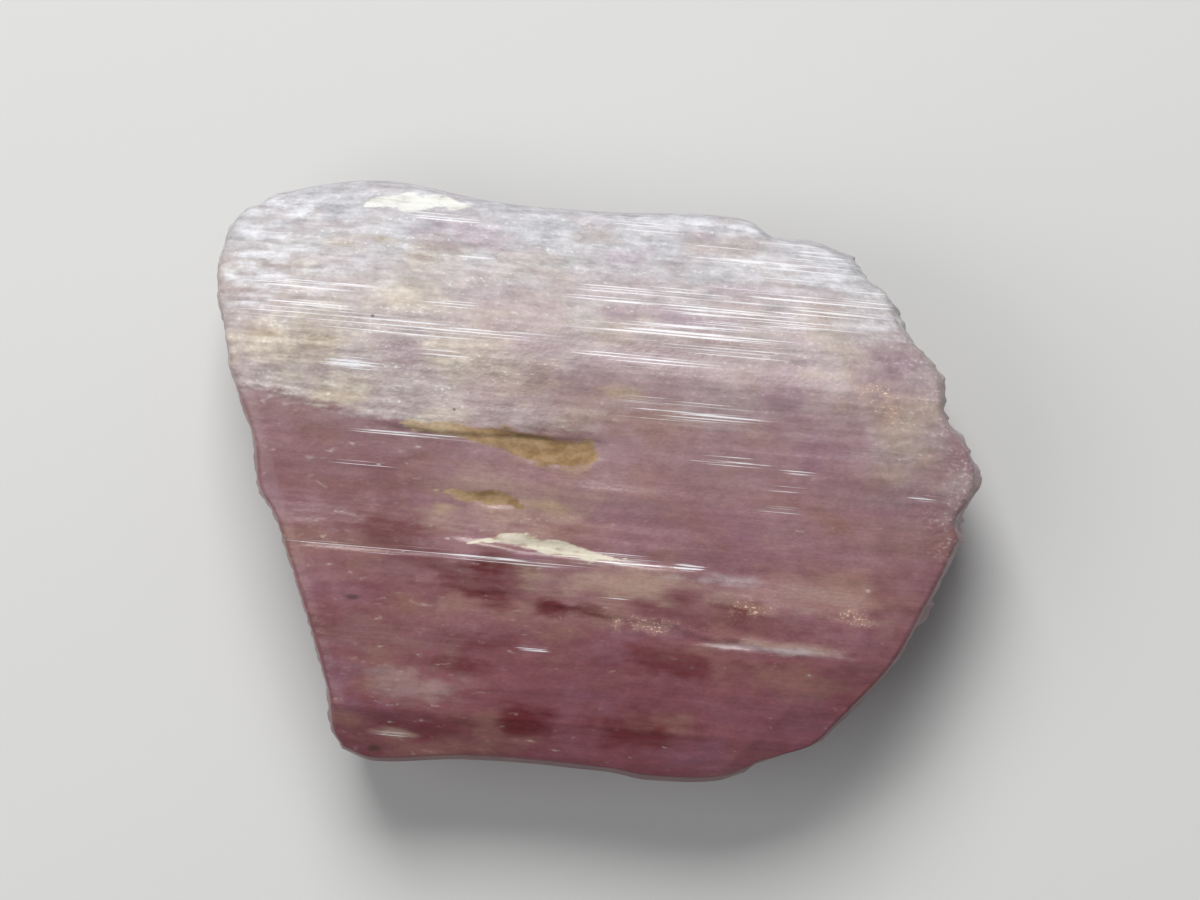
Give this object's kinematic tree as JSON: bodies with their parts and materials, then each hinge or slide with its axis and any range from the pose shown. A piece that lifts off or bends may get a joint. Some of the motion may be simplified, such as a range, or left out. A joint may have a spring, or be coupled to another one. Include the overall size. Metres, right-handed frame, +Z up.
{
  "type": "kunzite crystal",
  "caption": "Rough tabular kunzite crystal, pale lilac and translucent, striated along its length, with a frosted bevel, ledges, clay-stained grooves and etched ends.",
  "frame": {"origin": "on the surface that the crystal rests on, under the middle of its bounding box", "axes": "+X along the striations, towards the scalloped end; +Y across them, towards the frosted bevel; +Z up through the slab, out of its front face"},
  "size_m": [0.043, 0.032, 0.012],
  "materials": {
    "kunzite": "translucent, silky to frosted"
  },
  "bodies": {
    "root": {"kunzite_crystal": "kunzite"}
  },
  "joints": []
}
